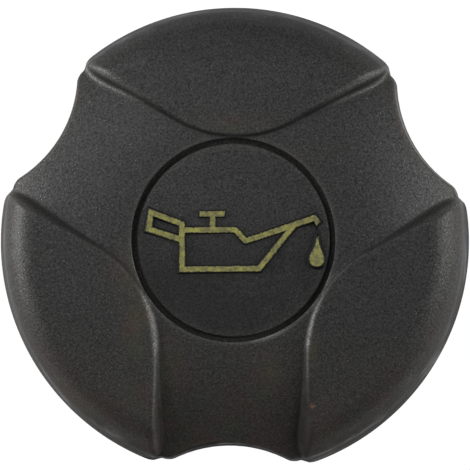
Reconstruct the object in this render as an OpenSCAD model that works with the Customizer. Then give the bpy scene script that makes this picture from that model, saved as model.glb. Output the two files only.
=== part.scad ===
// Oil filler cap with a three lobed grip, a round badge and a bayonet stem.
// Lengths are in millimetres. The origin is on the axis, in the plane where the
// gasket meets the filler neck, and +Y runs along the middle of one raised pad.

/* [Grip] */
// How far the skirt hangs below the sealing face
skirt_drop = 5; // [3:0.5:8]
// How much smaller the skirt's radius gets on its way up, so that it leaves the mould
skirt_draft = 0.8; // [0.4:0.1:1.2]
// Thickness of the moulded shell
shell_wall = 2.6; // [2:0.1:3]
// Thickness of the stiffening ribs under the shell
rib_t = 1.5; // [1:0.1:2.5]
// Width of the small chamfer round the skirt's lower edge
skirt_chamfer = 0.4; // [0.2:0.1:0.8]

/* [Finger channels] */
// Radius of the scallop that a finger rests in
scallop_r = 18.2; // [15:0.1:22]
// Gap between the stem's flange and the wall behind a scallop
flange_gap = 2; // [0.5:0.1:4]
// How far the flat lands beside a scallop stand out past its deepest point
land_out = 2.1; // [1.5:0.1:3]
// How far the lobes stand out past the lands
lobe_out = 2.3; // [1.5:0.1:4]
// How far the lands of the pads stand out past those of the channels
land_step = 0.16; // [0.1:0.02:0.4]
// Depth of the groove that runs down the skirt where a pad's wall meets it
land_groove = 0.2; // [0.1:0.05:0.4]
// Half the width of a channel, from its middle to a pad's crest
channel_half_w = 10.9; // [10.5:0.1:12]
// How far a channel's floor falls between the badge and the land
channel_fall = 5; // [3:0.25:6]
// Radius at which a channel's floor starts to fall
dome_start_r = 13; // [11:0.5:14.5]

/* [Raised pads] */
// Height of a pad's inner tip above the level ground
pad_rise = 0.5; // [0.3:0.1:1.2]
// Radius of a pad's blunt inner tip, seen from above
tip_r = 16.7; // [14:0.1:19]
// Radius of a pad's crown, seen from the side
crown_r = 220; // [150:10:400]
// Radius of the soft edge between a pad's top and the skirt
rim_r = 5.3; // [4:0.1:6]
// Sideways run of a pad's wall for each millimetre of its height
wall_run = 0.4; // [0.2:0.05:0.6]
// Width of the broken edge along a pad's crest
crest_bevel = 0.3; // [0.1:0.05:0.5]

/* [Badge] */
// Radius of the recess that holds the badge
recess_r = 14.7; // [14:0.05:15]
// Width of the dark groove round the badge
groove_w = 0.75; // [0.4:0.05:1]
// Play between the badge's foot and the recess
foot_play = 0.05; // [0.02:0.01:0.1]
// Height of the badge's foot, which closes the groove at its bottom
foot_h = 1; // [0.6:0.1:1.2]
// How far the foot reaches down below the badge's plate
foot_drop = 0.75; // [0.5:0.05:1]
// Thickness of the badge's plate
badge_t = 1.6; // [1.2:0.1:1.8]
// How far the badge lies below the level ground
badge_sink = 0.05; // [0:0.05:0.3]
// Height of the raised lines of the oil can
line_h = 0.35; // [0.2:0.05:0.6]
// Width of the raised lines
line_w = 1; // [0.7:0.05:1.1]
// Thickness of the yellow foil stamped on those lines
foil_t = 0.08; // [0.05:0.01:0.15]
// How far the badge was pressed in askew, in degrees
badge_turn = 1.4; // [0:0.1:5]

/* [Stem] */
// Diameter of the stem that goes into the filler neck
stem_d = 35; // [33:0.5:36]
// Length of the stem below the sealing face
stem_len = 20; // [18:0.5:26]
// Wall of the hollow stem
stem_wall = 2.8; // [2:0.1:3.2]
// Chamfer round the stem's lower end
stem_chamfer = 1; // [0.4:0.1:1.5]
// Length of the guide ring at that end, above the chamfer
guide_len = 4; // [2:0.5:4]
// How far the guide ring stands out from the stem
guide_step = 0.3; // [0.1:0.05:0.6]
// How far the stem's flange stands out past the gasket's groove
flange_rim = 1.4; // [1:0.1:2]
// Thickness of the flange
flange_t = 4; // [3.5:0.1:5]
// Diameter of the spigot that centres the stem under the grip
spigot_d = 26; // [24:0.5:27]
// Height of that spigot above the flange
spigot_h = 1.65; // [1.2:0.05:6]
// Play round the spigot and the driving dogs
spigot_play = 0.15; // [0.05:0.05:0.3]
// Length of a driving dog, from the spigot outwards
dog_len = 2.4; // [1.5:0.1:3]
// Width of a driving dog
dog_w = 6; // [4:0.5:8]
// Wall of the hub round the driving dogs
hub_wall = 1.35; // [1:0.05:2]
// Play between the ribs and the flange
rib_play = 0.3; // [0.1:0.1:1]

/* [Bayonet] */
// How far a lug stands out from the stem
lug_out = 3; // [2:0.1:3.5]
// Angle that a lug spans, in degrees
lug_span = 42; // [30:1:55]
// Height of a lug at its thick end
lug_h = 4.2; // [3:0.1:5]
// Rise of the ramp along a lug's upper face
lug_ramp = 1.4; // [0.8:0.1:2]
// Distance from the sealing face down to a lug's upper face at its thick end
lug_drop = 9; // [8:0.5:10]

/* [Gasket] */
// Width of the gasket's ring
gasket_w = 5.9; // [4:0.1:7]
// Thickness of the gasket
gasket_t = 3.2; // [2.6:0.1:4]
// Depth of the groove that holds the gasket
gasket_groove = 1.4; // [1:0.1:1.8]
// Play between the gasket and its groove
gasket_play = 0.1; // [0.05:0.05:0.2]
// Rounding of the gasket's edges
gasket_round = 0.5; // [0.3:0.1:0.8]

/* [Screws] */
// Radius of the circle on which the screws stand
screw_circle_r = 8; // [7:0.25:8.5]
// Diameter of a screw's shank, without its thread
screw_d = 2.8; // [2.4:0.1:3]
// Length of a screw below its head
screw_len = 10; // [8:0.5:11]
// Diameter of a screw's head
head_d = 6.2; // [5.5:0.1:7]
// Height of a screw's head
head_h = 1.8; // [1.5:0.1:1.9]
// Thickness of the deck under a screw's head
deck_under_head = 1.5; // [1.2:0.1:1.6]
// Play round the screw's shank in the deck, and round its head
screw_play = 0.3; // [0.1:0.05:0.5]
// Gap between a screw's head and the badge above it
head_gap = 0.45; // [0.2:0.05:1]
// Play between a screw's shank and its pilot hole in the stem
pilot_play = 0.02; // [0.01:0.01:0.05]
// Wall of the boss round that hole
boss_wall = 2; // [1.5:0.1:2.5]
// How far a boss goes on below its screw's tip
boss_end = 3; // [2:0.5:4]
// Depth of the cross recess in a screw's head
cross_depth = 1.1; // [0.8:0.1:1.3]

/* [Hidden] */
$fn = 96;

lobes = 3;
sector = 360 / lobes;
half_sector = sector / 2;
overshoot = 1;                   // how far a cutting solid runs past what it cuts

// Radii, from the stem that suits the filler neck outwards to the lobes
stem_r = stem_d / 2;
stem_bore_r = stem_r - stem_wall;
guide_r = stem_r + guide_step;
gasket_in_r = stem_r + gasket_play;
gasket_out_r = gasket_in_r + gasket_w;
seat_r = gasket_out_r + gasket_play;             // outside of the gasket's groove
flange_r = seat_r + flange_rim;
waist_r = flange_r + flange_gap + shell_wall;    // deepest point of a scallop
land_x = waist_r + land_out;                     // the lands beside it
grip_r = land_x + lobe_out;
scallop_c = waist_r + scallop_r;                 // a scallop's centre
spigot_r = spigot_d / 2;
hub_bore_r = spigot_r + spigot_play;
hub_r = max(recess_r, hub_bore_r + dog_len) + hub_wall;
pilot_r = screw_d / 2 + pilot_play;
boss_r = pilot_r + boss_wall;
head_hole_r = head_d / 2 + screw_play;
badge_r = recess_r - groove_w;

// Levels, from the gasket's seat upwards to the level ground round the badge
skirt_z = -skirt_drop;
stem_end_z = -stem_len;
guide_low_z = stem_end_z + stem_chamfer;
guide_top_z = guide_low_z + guide_len;
flange_low_z = gasket_t - gasket_groove;
flange_top_z = flange_low_z + flange_t;
rib_z = flange_top_z + rib_play;
spigot_top_z = flange_top_z + spigot_h;
deck_z = spigot_top_z + spigot_play;
head_seat_z = deck_z + deck_under_head;
badge_under_z = head_seat_z + head_h + head_gap;
recess_z = badge_under_z - foot_drop;
badge_top_z = badge_under_z + badge_t;
plateau_z = badge_top_z + badge_sink;
screw_tip_z = head_seat_z - screw_len;
boss_z = screw_tip_z - boss_end;

// The channel floors belong to one dome, an arc that starts level and falls outward
dome_run = land_x - dome_start_r;
dome_r = (dome_run * dome_run + channel_fall * channel_fall) / (2 * channel_fall);
function dome_z(r) = r <= dome_start_r ? plateau_z
    : plateau_z - dome_r + sqrt(dome_r * dome_r - pow(r - dome_start_r, 2));

// The pads belong to one crown, which turns into the skirt along a round rim
tip_c = (tip_r + channel_half_w) / cos(half_sector / 2);  // centre of a pad's tip
tip_x = tip_c - tip_r;                                     // where that tip starts
rim_c = grip_r - skirt_draft - rim_r;
rim_lean = asin(rim_c / (crown_r - rim_r));
crown_c = plateau_z + pad_rise - sqrt(crown_r * crown_r - tip_x * tip_x);
rim_cz = crown_c + sqrt(pow(crown_r - rim_r, 2) - rim_c * rim_c);
rim_start_r = rim_c + rim_r * sin(rim_lean);
function crown_z(r) = crown_c + sqrt(crown_r * crown_r - r * r);
function rim_z(r) = rim_cz + sqrt(rim_r * rim_r - pow(min(r, rim_c + rim_r * 0.97) - rim_c, 2));
function pad_z(r) = r <= rim_start_r ? crown_z(r) : rim_z(r);

// Points of an arc about (x, y), with the angle counted from +X
function arc(x, y, r, from, to, n) =
    [for (i = [0 : n]) let (a = from + (to - from) * i / n) [x + r * cos(a), y + r * sin(a)]];

// Half sections for the dome and for the crown, at a depth below their outer faces
function dome_profile(depth, low) = concat(
    [[0, low], [grip_r + overshoot, low]],
    [for (i = [16 : -1 : 0]) let (r = dome_start_r + dome_run * 1.2 * i / 16)
        [r, dome_z(r) - depth]],
    [[0, plateau_z - depth]]);
function crown_profile(depth, foot) = concat(
    [[0, foot[0][1]]], foot,
    arc(rim_c, rim_cz, rim_r - depth, 3, 90 - rim_lean, 14),
    [for (i = [5 : -1 : 0]) let (r = rim_c * i / 6) [r, crown_z(r) - depth]]);

// One finger channel's end, with the scallop, its two lands and the groove beside each
module channel_end() {
    crest_y = channel_half_w + crest_bevel;
    foot_y = channel_half_w - wall_run * channel_fall * 0.75;
    groove_y = (crest_y + foot_y) / 2;
    far_y = grip_r;
    far_x = grip_r + overshoot * 4;
    translate([scallop_c, 0]) circle(r = scallop_r, $fn = 180);
    polygon([[land_x, -foot_y], [land_x - land_groove, -groove_y], [land_x + land_step, -crest_y],
             [land_x + land_step, -far_y], [far_x, -far_y], [far_x, far_y],
             [land_x + land_step, far_y], [land_x + land_step, crest_y],
             [land_x - land_groove, groove_y], [land_x, foot_y]]);
}

// The space inside a channel's end, one wall further in
module channel_end_inside() {
    translate([scallop_c, 0]) circle(r = scallop_r + shell_wall, $fn = 180);
    translate([land_x - shell_wall, -grip_r]) square([grip_r, 2 * grip_r]);
}

module at_channels() {
    for (i = [0 : lobes - 1]) rotate(half_sector / 2 + i * sector) children();
}

module at_pads() {
    for (i = [0 : lobes - 1]) rotate(i * sector) children();
}

// A pad's crest, from the far right along the straight edge, round the tip and back.
// Each entry is [point, outward direction]. The steps are shares of the edge's way from
// the tip's arc to the lobe's circle, and lie close together where the rim turns down.
edge_len = sqrt(grip_r * grip_r - channel_half_w * channel_half_w) - tip_c / 2;
edge_steps = [1.35, 1.14, 1.065, 1.01, 0.965, 0.92, 0.87, 0.81, 0.725, 0.55, 0.31];
tip_steps = 8;
function edge_at(side, t) =
    let (u = [side * cos(30), sin(30)], v = [-side * sin(30), cos(30)])
    [(tip_c / 2 + t * edge_len) * u + channel_half_w * v, -v];
function tip_at(a) = [[tip_r * cos(a), tip_c + tip_r * sin(a)], [cos(a), sin(a)]];
crest = concat(
    [for (t = edge_steps) edge_at(1, t)],
    [for (i = [0 : tip_steps]) tip_at(-60 - 60 * i / tip_steps)],
    [for (i = [len(edge_steps) - 1 : -1 : 0]) edge_at(-1, edge_steps[i])],
    [[[-grip_r, 2 * grip_r], [0, 0]], [[grip_r, 2 * grip_r], [0, 0]]]);

// The solid that bounds a pad: its sides are the walls that rise from the channels
module pad_walls() {
    n = len(crest);
    low_z = plateau_z - channel_fall * 1.6;
    high_z = plateau_z + pad_rise + 2 * overshoot;
    function ring_point(p, k) =
        let (r = norm(p[0]), top = pad_z(r),
             out = [wall_run * (top - low_z), wall_run * crest_bevel, -crest_bevel, -crest_bevel][k],
             z = [low_z, top - crest_bevel, top + 0.06, high_z][k])
        [p[0][0] + p[1][0] * out, p[0][1] + p[1][1] * out, z];
    polyhedron(
        points = [for (k = [0 : 3]) for (p = crest) ring_point(p, k)],
        faces = concat(
            [[for (i = [n - 1 : -1 : 0]) i]],
            [[for (i = [0 : n - 1]) 3 * n + i]],
            [for (k = [0 : 2]) for (i = [0 : n - 1]) let (j = (i + 1) % n)
                each [[k * n + i, k * n + j, (k + 1) * n + i],
                      [k * n + j, (k + 1) * n + j, (k + 1) * n + i]]]));
}

// What is missing above the dome between the pads
module channels_above_dome() {
    difference() {
        rotate_extrude() polygon(concat(
            [for (i = [0 : 16]) let (r = dome_start_r + dome_run * 1.2 * i / 16) [r, dome_z(r)]],
            [[grip_r + overshoot * 2, dome_z(dome_start_r + dome_run * 1.2)],
             [grip_r + overshoot * 2, plateau_z + pad_rise + overshoot],
             [0, plateau_z + pad_rise + overshoot], [0, plateau_z]]));
        at_pads() pad_walls();
    }
}

// The outside of the grip without its recess and its hollow
module grip_outside() {
    difference() {
        rotate_extrude() polygon(crown_profile(0,
            [[grip_r - skirt_chamfer, skirt_z], [grip_r, skirt_z + skirt_chamfer]]));
        channels_above_dome();
        translate([0, 0, skirt_z - overshoot])
            linear_extrude(plateau_z - skirt_z + 3 * overshoot)
                at_channels() channel_end();
    }
}

// The lens shape of a pad from above, drawn in from its crest
module pad_plan(inset) {
    polygon([for (p = crest) p[0] - p[1] * inset]);
}

// The hollow under the grip, which leaves an even wall under the dome and the pads
module grip_hollow() {
    low = skirt_z - overshoot;
    tall = plateau_z - skirt_z + 3 * overshoot;
    inner_r = grip_r - skirt_draft - shell_wall;
    difference() {
        union() {
            intersection() {
                rotate_extrude() polygon(dome_profile(shell_wall, low));
                translate([0, 0, low]) linear_extrude(tall) difference() {
                    circle(r = inner_r);
                    at_channels() channel_end_inside();
                }
            }
            intersection() {
                rotate_extrude() polygon(crown_profile(shell_wall, [[inner_r, low]]));
                translate([0, 0, low]) linear_extrude(tall) difference() {
                    at_pads() pad_plan(shell_wall);
                    at_channels() channel_end_inside();
                }
            }
        }
        translate([0, 0, flange_top_z]) cylinder(r = hub_r, h = tall);
        ribs();
    }
}

// Ribs from the hub to the skirt: three under each pad and one behind each scallop
module ribs() {
    for (i = [0 : lobes - 1]) for (a = [0, 24, 60, 96])
        rotate(90 + i * sector + a)
            translate([hub_r - overshoot, -rib_t / 2, rib_z]) cube([grip_r, rib_t, plateau_z]);
}

// The hub's bore for the spigot, with a slot for each driving dog
module hub_bore() {
    tall = deck_z - flange_top_z + overshoot;
    translate([0, 0, flange_top_z - overshoot]) {
        cylinder(r = hub_bore_r, h = tall);
        at_pads() translate([-dog_w / 2 - spigot_play, 0, 0])
            cube([dog_w + 2 * spigot_play, hub_bore_r + dog_len, tall]);
    }
}

module at_screws() {
    at_channels() translate([screw_circle_r, 0, 0]) children();
}

module grip_shell() {
    color("#36352f") difference() {
        grip_outside();
        grip_hollow();
        hub_bore();
        translate([0, 0, recess_z]) cylinder(r = recess_r, h = plateau_z - recess_z + 2 * overshoot);
        at_screws() {
            translate([0, 0, head_seat_z])
                cylinder(r = head_hole_r, h = recess_z - head_seat_z + overshoot);
            translate([0, 0, deck_z - overshoot])
                cylinder(r = screw_d / 2 + screw_play, h = deck_under_head + 2 * overshoot);
        }
    }
}

// Middle lines of the oil can, as corners from the centre of a badge of 13.95 mm radius,
// and scaled with the badge that it is
art = badge_r / 13.95;
can_body = art * [[-7.4, 1.5], [0.3, 1.5], [1.75, -0.15], [8.8, 2.1], [3.7, -4.15], [-7.4, -4.15]];
can_handle = art * [[-7.4, 2.4], [-7.4, 0.1], [-12.2, 1.7], [-11.8, 4.1]];
can_nozzle = art * [[8.1, 1.87], [11.75, 3.1], [12.5, 2.35]];
knob = art * [-4.9, -1.1, 3.8];  // left end, right end and height of the filler knob
knob_x = art * -2.95;
drop = art * [12.15, -2.65];
drop_r = art * 1.14;
drop_tip = art * [12.35, 0.9];

function unit(v) = v / norm(v);
function left_of(v) = [-v[1], v[0]];
// Corner i of a line drawn beside a path, at a distance to its left
function beside(path, i, d, closed) =
    let (n = len(path), ends = !closed && (i == 0 || i == n - 1),
         a = unit(path[i] - path[(i + n - 1) % n]), b = unit(path[(i + 1) % n] - path[i]),
         u = ends ? (i == 0 ? b : a) : a, w = ends ? u : b)
    path[i] + (left_of(u) + left_of(w)) * d / (1 + u * w);
module closed_line(path) {
    difference() {
        polygon([for (i = [0 : len(path) - 1]) beside(path, i, line_w / 2, true)]);
        polygon([for (i = [0 : len(path) - 1]) beside(path, i, -line_w / 2, true)]);
    }
}
module open_line(path) {
    n = len(path);
    polygon(concat([for (i = [0 : n - 1]) beside(path, i, line_w / 2, false)],
                   [for (i = [n - 1 : -1 : 0]) beside(path, i, -line_w / 2, false)]));
}

// A falling drop: a disc and the two lines that leave it for the tip
module oil_drop() {
    reach = norm(drop_tip - drop);
    half = acos(drop_r / reach);
    lean = atan2(drop_tip[1] - drop[1], drop_tip[0] - drop[0]);
    translate(drop) circle(r = drop_r, $fn = 48);
    polygon([drop, drop + drop_r * [cos(lean - half), sin(lean - half)], drop_tip,
             drop + drop_r * [cos(lean + half), sin(lean + half)]]);
}

// The common pictogram of an oil can, as it lies on the badge
module oil_can() {
    rotate(badge_turn) {
        closed_line(can_body);
        closed_line(can_handle);
        open_line(can_nozzle);
        translate([knob[0], knob[2] - line_w / 2]) square([knob[1] - knob[0], line_w]);
        translate([knob_x - line_w / 2, can_body[0][1]]) square([line_w, knob[2] - can_body[0][1]]);
        oil_drop();
    }
}

module badge_disc() {
    foot_r = recess_r - foot_play;
    inside_r = screw_circle_r + head_hole_r + head_gap * 2;
    edge = 0.25;
    color("#333230") union() {
        rotate_extrude() polygon([
            [0, badge_under_z], [inside_r, badge_under_z], [inside_r, recess_z],
            [foot_r, recess_z], [foot_r, recess_z + foot_h], [badge_r, recess_z + foot_h],
            [badge_r, badge_top_z - edge], [badge_r - edge * 0.3, badge_top_z - edge * 0.3],
            [badge_r - edge, badge_top_z], [0, badge_top_z]]);
        translate([0, 0, badge_top_z - badge_t / 2]) linear_extrude(badge_t / 2 + line_h) oil_can();
    }
}

module symbol_foil() {
    color("#8a8648") translate([0, 0, badge_top_z + line_h]) linear_extrude(foil_t) oil_can();
}

// A lug swept round the stem, whose upper face slopes down to the end that enters first
module lug() {
    root_r = stem_r - stem_wall / 2;
    out_r = stem_r + lug_out;
    under_z = -lug_drop - lug_h;
    edge = 0.6;
    ramp = atan(lug_ramp / (out_r * lug_span * PI / 180));
    difference() {
        rotate(-lug_span / 2) rotate_extrude(angle = lug_span) polygon([
            [root_r, under_z], [out_r - edge, under_z], [out_r, under_z + edge],
            [out_r, -lug_drop + overshoot], [root_r, -lug_drop + overshoot]]);
        translate([0, 0, -lug_drop - lug_ramp / 2]) rotate([ramp, 0, 0])
            translate([0, -out_r, 0]) cube([2 * out_r, 2 * out_r, lug_h]);
    }
}

module bayonet_stem() {
    edge = 0.4;
    ceiling_z = flange_top_z - stem_wall;
    color("#2b2a28") difference() {
        union() {
            rotate_extrude() polygon([
                [0, stem_end_z], [guide_r - stem_chamfer, stem_end_z],
                [guide_r, guide_low_z], [guide_r, guide_top_z],
                [stem_r, guide_top_z + guide_step], [stem_r, gasket_t], [seat_r, gasket_t],
                [seat_r, flange_low_z], [flange_r - edge, flange_low_z],
                [flange_r, flange_low_z + edge], [flange_r, flange_top_z - edge],
                [flange_r - edge, flange_top_z], [spigot_r, flange_top_z],
                [spigot_r, spigot_top_z], [0, spigot_top_z]]);
            at_pads() translate([-dog_w / 2, 0, flange_top_z - overshoot])
                cube([dog_w, spigot_r + dog_len, spigot_top_z - flange_top_z + overshoot]);
            at_pads() rotate(30) lug();
        }
        difference() {
            translate([0, 0, stem_end_z - overshoot])
                cylinder(r = stem_bore_r, h = ceiling_z - stem_end_z + overshoot);
            at_screws() {
                translate([0, 0, boss_z]) cylinder(r = boss_r, h = plateau_z);
                translate([boss_r - overshoot, -rib_t / 2, boss_z + 1])
                    cube([stem_bore_r, rib_t, plateau_z]);
            }
        }
        at_screws() translate([0, 0, screw_tip_z - 1])
            cylinder(r = pilot_r, h = plateau_z - screw_tip_z);
    }
}

module sealing_gasket() {
    in_c = gasket_in_r + gasket_round;
    out_c = gasket_out_r - gasket_round;
    color("#1d1d1d") rotate_extrude() polygon(concat(
        arc(in_c, gasket_round, gasket_round, 180, 270, 5),
        arc(out_c, gasket_round, gasket_round, 270, 360, 5),
        arc(out_c, gasket_t - gasket_round, gasket_round, 0, 90, 5),
        arc(in_c, gasket_t - gasket_round, gasket_round, 90, 180, 5)));
}

// A pan head screw with a cross recess, its thread left out
module screw() {
    dome = head_h / 2;
    slot = 0.9;
    difference() {
        rotate_extrude() polygon([
            [0, screw_tip_z], [screw_d * 0.2, screw_tip_z], [screw_d / 2, screw_tip_z + screw_d / 2],
            [screw_d / 2, head_seat_z], [head_d / 2, head_seat_z],
            [head_d / 2, head_seat_z + head_h - dome],
            [head_d * 0.46, head_seat_z + head_h - dome * 0.5],
            [head_d * 0.36, head_seat_z + head_h - dome * 0.12],
            [head_d * 0.24, head_seat_z + head_h], [0, head_seat_z + head_h]]);
        for (a = [0, 90]) rotate(a)
            translate([-head_d * 0.28, -slot / 2, head_seat_z + head_h - cross_depth])
                cube([head_d * 0.56, slot, head_h]);
    }
}

module retaining_screws() {
    color("#b9bcc0") at_screws() screw();
}

grip_shell();
badge_disc();
symbol_foil();
bayonet_stem();
sealing_gasket();
retaining_screws();
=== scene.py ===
import math

import bmesh
import bpy
from mathutils import Matrix, Vector, kdtree


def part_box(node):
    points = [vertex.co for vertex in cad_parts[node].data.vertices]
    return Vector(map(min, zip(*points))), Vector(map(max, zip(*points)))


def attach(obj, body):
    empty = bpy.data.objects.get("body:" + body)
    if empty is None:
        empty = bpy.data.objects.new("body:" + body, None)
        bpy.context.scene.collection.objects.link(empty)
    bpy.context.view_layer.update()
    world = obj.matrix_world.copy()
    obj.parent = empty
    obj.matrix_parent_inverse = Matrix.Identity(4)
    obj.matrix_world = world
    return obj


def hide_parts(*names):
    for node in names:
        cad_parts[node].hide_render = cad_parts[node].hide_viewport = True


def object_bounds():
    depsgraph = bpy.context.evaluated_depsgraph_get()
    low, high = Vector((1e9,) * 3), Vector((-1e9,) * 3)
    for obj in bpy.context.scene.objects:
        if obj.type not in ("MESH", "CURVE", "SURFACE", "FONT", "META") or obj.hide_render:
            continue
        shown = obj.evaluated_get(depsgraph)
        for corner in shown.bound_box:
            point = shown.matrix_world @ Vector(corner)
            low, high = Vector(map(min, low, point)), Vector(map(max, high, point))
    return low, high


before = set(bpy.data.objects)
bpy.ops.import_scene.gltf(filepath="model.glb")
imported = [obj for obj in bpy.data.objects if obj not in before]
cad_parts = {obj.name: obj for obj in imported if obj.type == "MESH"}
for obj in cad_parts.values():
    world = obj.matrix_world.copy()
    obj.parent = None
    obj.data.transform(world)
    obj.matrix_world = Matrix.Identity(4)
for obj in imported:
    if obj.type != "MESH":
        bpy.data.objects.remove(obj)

bl_info = {
    "name": "Oil Filler Cap",
    "version": (1, 0, 0),
    "blender": (4, 5, 0),
    "location": "3D View > Sidebar > Filler Cap",
    "description": "Dresses a three lobed oil filler cap and sets it in a studio",
    "category": "Object",
}

MM = 0.001
DROP_PLACE = (12.21 * MM, -2.35 * MM)    # middle of the solid's oil drop
DROP_MOVE = (-0.12 * MM, -0.28 * MM)     # from there to the middle of the real one
DROP_TALL = 3.5 * MM                     # from the solid drop's middle to its tip
DROP_STRETCH = 0.75 * MM                 # how much taller the real one is
SPOUT_END = (12.44 * MM, 2.66 * MM)      # end of the solid's spout
SPOUT_MOVE = (-0.15 * MM, -0.2 * MM)     # from there to the end of the real one
# Patches of dust: place, half width, half height in mm, and how much dust there is
DUST_PATCHES = ((-0.7, 16.9, 4.8, 1.2, 0.6), (-15.2, -5.5, 2.4, 3.6, 0.8), (-13.6, -13.0, 2.2, 7.0, 0.8),
                (-10.0, -24.0, 3.0, 5.0, 0.4), (9.0, 12.5, 5.0, 1.2, 0.3),
                (5.5, -19.1, 2.2, 2.8, 0.6), (11.8, -15.6, 0.9, 2.2, 0.7), (-9.0, -17.5, 2.4, 3.0, 0.5))
MARKS = ("rubbed", "grime_and_shade", "dusty")    # what each vertex of the grip says of its wear and dust, with painted highlights in the first and painted shade in the second
SKIRT_GRIME_AND_SHADE = 0.5      # how much grime and painted shade the skirt and the grip's underside get
SCUFF_ANGLE = -1.19    # direction in radians in which the recess's edge is scuffed most
RUST_PLACE = (11.8 * MM, -23.7 * MM, 12.2 * MM)    # a fleck beside the lowest channel
LOBES = 3
SECTOR = math.tau / LOBES
HALF_SECTOR = SECTOR / 2
FIRST_CHANNEL = math.radians(30)    # direction of the first finger channel's middle
SKIRT_LEAN = math.radians(3)        # lean of the skirt where the pads' round rim ends in it
FRAME_W = 68.25 * MM                # what the picture's width holds at the skirt's lower edge

LOW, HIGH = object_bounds()
GRIP_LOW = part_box("grip_shell")[0]
BADGE_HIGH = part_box("badge_disc")[1]
FOIL_LOW, FOIL_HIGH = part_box("symbol_foil")


def linear(code):
    """An sRGB hex colour as the linear numbers that a shader takes."""
    parts = [int(code[i:i + 2], 16) / 255 for i in (1, 3, 5)]
    return [p / 12.92 if p <= 0.04045 else ((p + 0.055) / 1.055) ** 2.4 for p in parts]


def length(name, description, default):
    """A property for a size in metres."""
    return bpy.props.FloatProperty(name=name, description=description, default=default,
                                   unit="LENGTH", precision=5)


def colour(name, description, code):
    """A property for a colour."""
    return bpy.props.FloatVectorProperty(name=name, description=description, subtype="COLOR",
                                         size=3, min=0, max=1, default=linear(code))


class CapForm(bpy.types.PropertyGroup):
    """Sizes of the grip, the same as those of the solid part."""
    grip_r: length("Lobe radius", "Radius of the lobes at the skirt's lower edge", 34 * MM)
    skirt_z: length("Skirt level", "Level of the skirt's lower edge", -5 * MM)
    draft: length("Draft", "How much the skirt's radius shrinks on its way up", 0.8 * MM)
    chamfer: length("Skirt chamfer", "Chamfer round the skirt's lower edge", 0.4 * MM)
    scallop_r: length("Scallop radius", "Radius of the scallop for a finger", 18.2 * MM)
    waist_r: length("Waist radius", "Distance from the axis to a scallop's deepest point", 29.6 * MM)
    land_x: length("Land distance", "Distance from the axis to the lands by a scallop", 31.7 * MM)
    land_step: length("Land step", "How far a pad's land stands out past the channel's", 0.16 * MM)
    land_groove: length("Land groove", "Depth of the groove where a pad's wall meets a land", 0.2 * MM)
    scallop_draft: length("Scallop draft", "How far a scallop's wall leans in at its top", 0.35 * MM)
    half_w: length("Half channel width", "From a channel's middle to a pad's crest", 10.9 * MM)
    fall: length("Channel fall", "How far a channel's floor falls outwards", 5 * MM)
    dome_start: length("Dome start", "Radius at which a channel's floor starts to fall", 13 * MM)
    plateau_z: length("Plateau level", "Level of the ground round the badge", 13 * MM)
    pad_rise: length("Pad rise", "Height of a pad's inner tip above the ground", 0.5 * MM)
    tip_r: length("Tip radius", "Radius of a pad's blunt inner tip in plan", 16.7 * MM)
    crown_r: length("Crown radius", "Radius of a pad's crown seen from the side", 220 * MM)
    rim_r: length("Rim radius", "Radius of the soft edge between a pad and the skirt", 5.3 * MM)
    wall_run: bpy.props.FloatProperty(
        name="Wall run", description="Sideways run of a pad's wall for its height", default=0.4)
    recess_r: length("Recess radius", "Radius of the recess that holds the badge", 14.7 * MM)
    recess_z: length("Recess floor", "Level of the floor under the badge", 10.6 * MM)
    crest_soft: length("Crest softness", "Height over which a pad's crest is rounded", 3.2 * MM)
    foot_soft: length("Foot softness", "Height over which a wall's foot is rounded", 0.6 * MM)
    edge_round: length("Edge rounding", "Rounding of the upper edge of scallops and lands", 0.45 * MM)
    corner_soft: length("Corner softness", "Rounding of the outline's corners in plan", 0.25 * MM)
    recess_round: length("Recess rounding", "Rounding of the recess's upper edge", 0.22 * MM)


class BadgeForm(bpy.types.PropertyGroup):
    """Sizes of the badge."""
    groove_w: length("Groove width", "Width of the dark groove round the badge", 0.75 * MM)
    edge_round: length("Badge edge", "Rounding of the badge's upper edge", 0.3 * MM)
    line_bevel: length("Line rounding", "Rounding of the raised lines' edges", 0.32 * MM)
    crown: length("Crown", "How far the badge's middle stands above its edge", 0.6 * MM)


class CapFinish(bpy.types.PropertyGroup):
    """Colours of the cap."""
    nylon: colour("Nylon", "Black glass filled nylon of the grip", "#1b1b1b")
    nylon_worn: colour("Rubbed nylon", "The same nylon where hands have rubbed it grey", "#3a3a39")
    # This colour also paints shade: in the groove round the badge, on walls facing away from the lamps,
    # on the rims and round the badge's lines
    grime: colour("Grime", "Oily grime in the corners of the grip", "#212020")
    dust: colour("Dust", "Olive dust on top of the grip", "#3a3929")
    dust_brown: colour("Brown dust", "Browner dust that lies among it", "#43332b")
    badge: colour("Badge nylon", "Black nylon of the badge", "#191919")
    foil: colour("Foil", "Yellow stamping foil", "#928f42")
    foil_worn: colour("Rubbed foil", "The same foil where it is rubbed thin", "#5c5a38")
    rubber: colour("Rubber", "Gasket rubber", "#181818")
    stem: colour("Stem nylon", "Black nylon of the stem", "#242322")
    # This colour also paints highlights along the crests and round the badge's rim
    scuff_and_highlight: colour("Scuff", "Torn, whitened nylon on the sharpest crests", "#848480")
    rust: colour("Rust", "A fleck of rust that stuck to the grip", "#7c5c44")
    zinc: colour("Zinc", "Zinc plating of the screws", "#b9bcc0")


def node(tree, kind, inputs=None, **settings):
    """Adds a shader node with its settings, values and links, and returns it."""
    made = tree.nodes.new(kind)
    for name, value in settings.items():
        setattr(made, name, value)
    for key, value in (inputs or {}).items():
        socket = made.inputs[key]
        if isinstance(value, bpy.types.NodeSocket):
            tree.links.new(value, socket)
        else:
            socket.default_value = value
    return made


def empty_tree(owner):
    """The node tree of a new material or world, without its first nodes."""
    owner.use_nodes = True
    owner.node_tree.nodes.clear()
    return owner.node_tree


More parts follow.
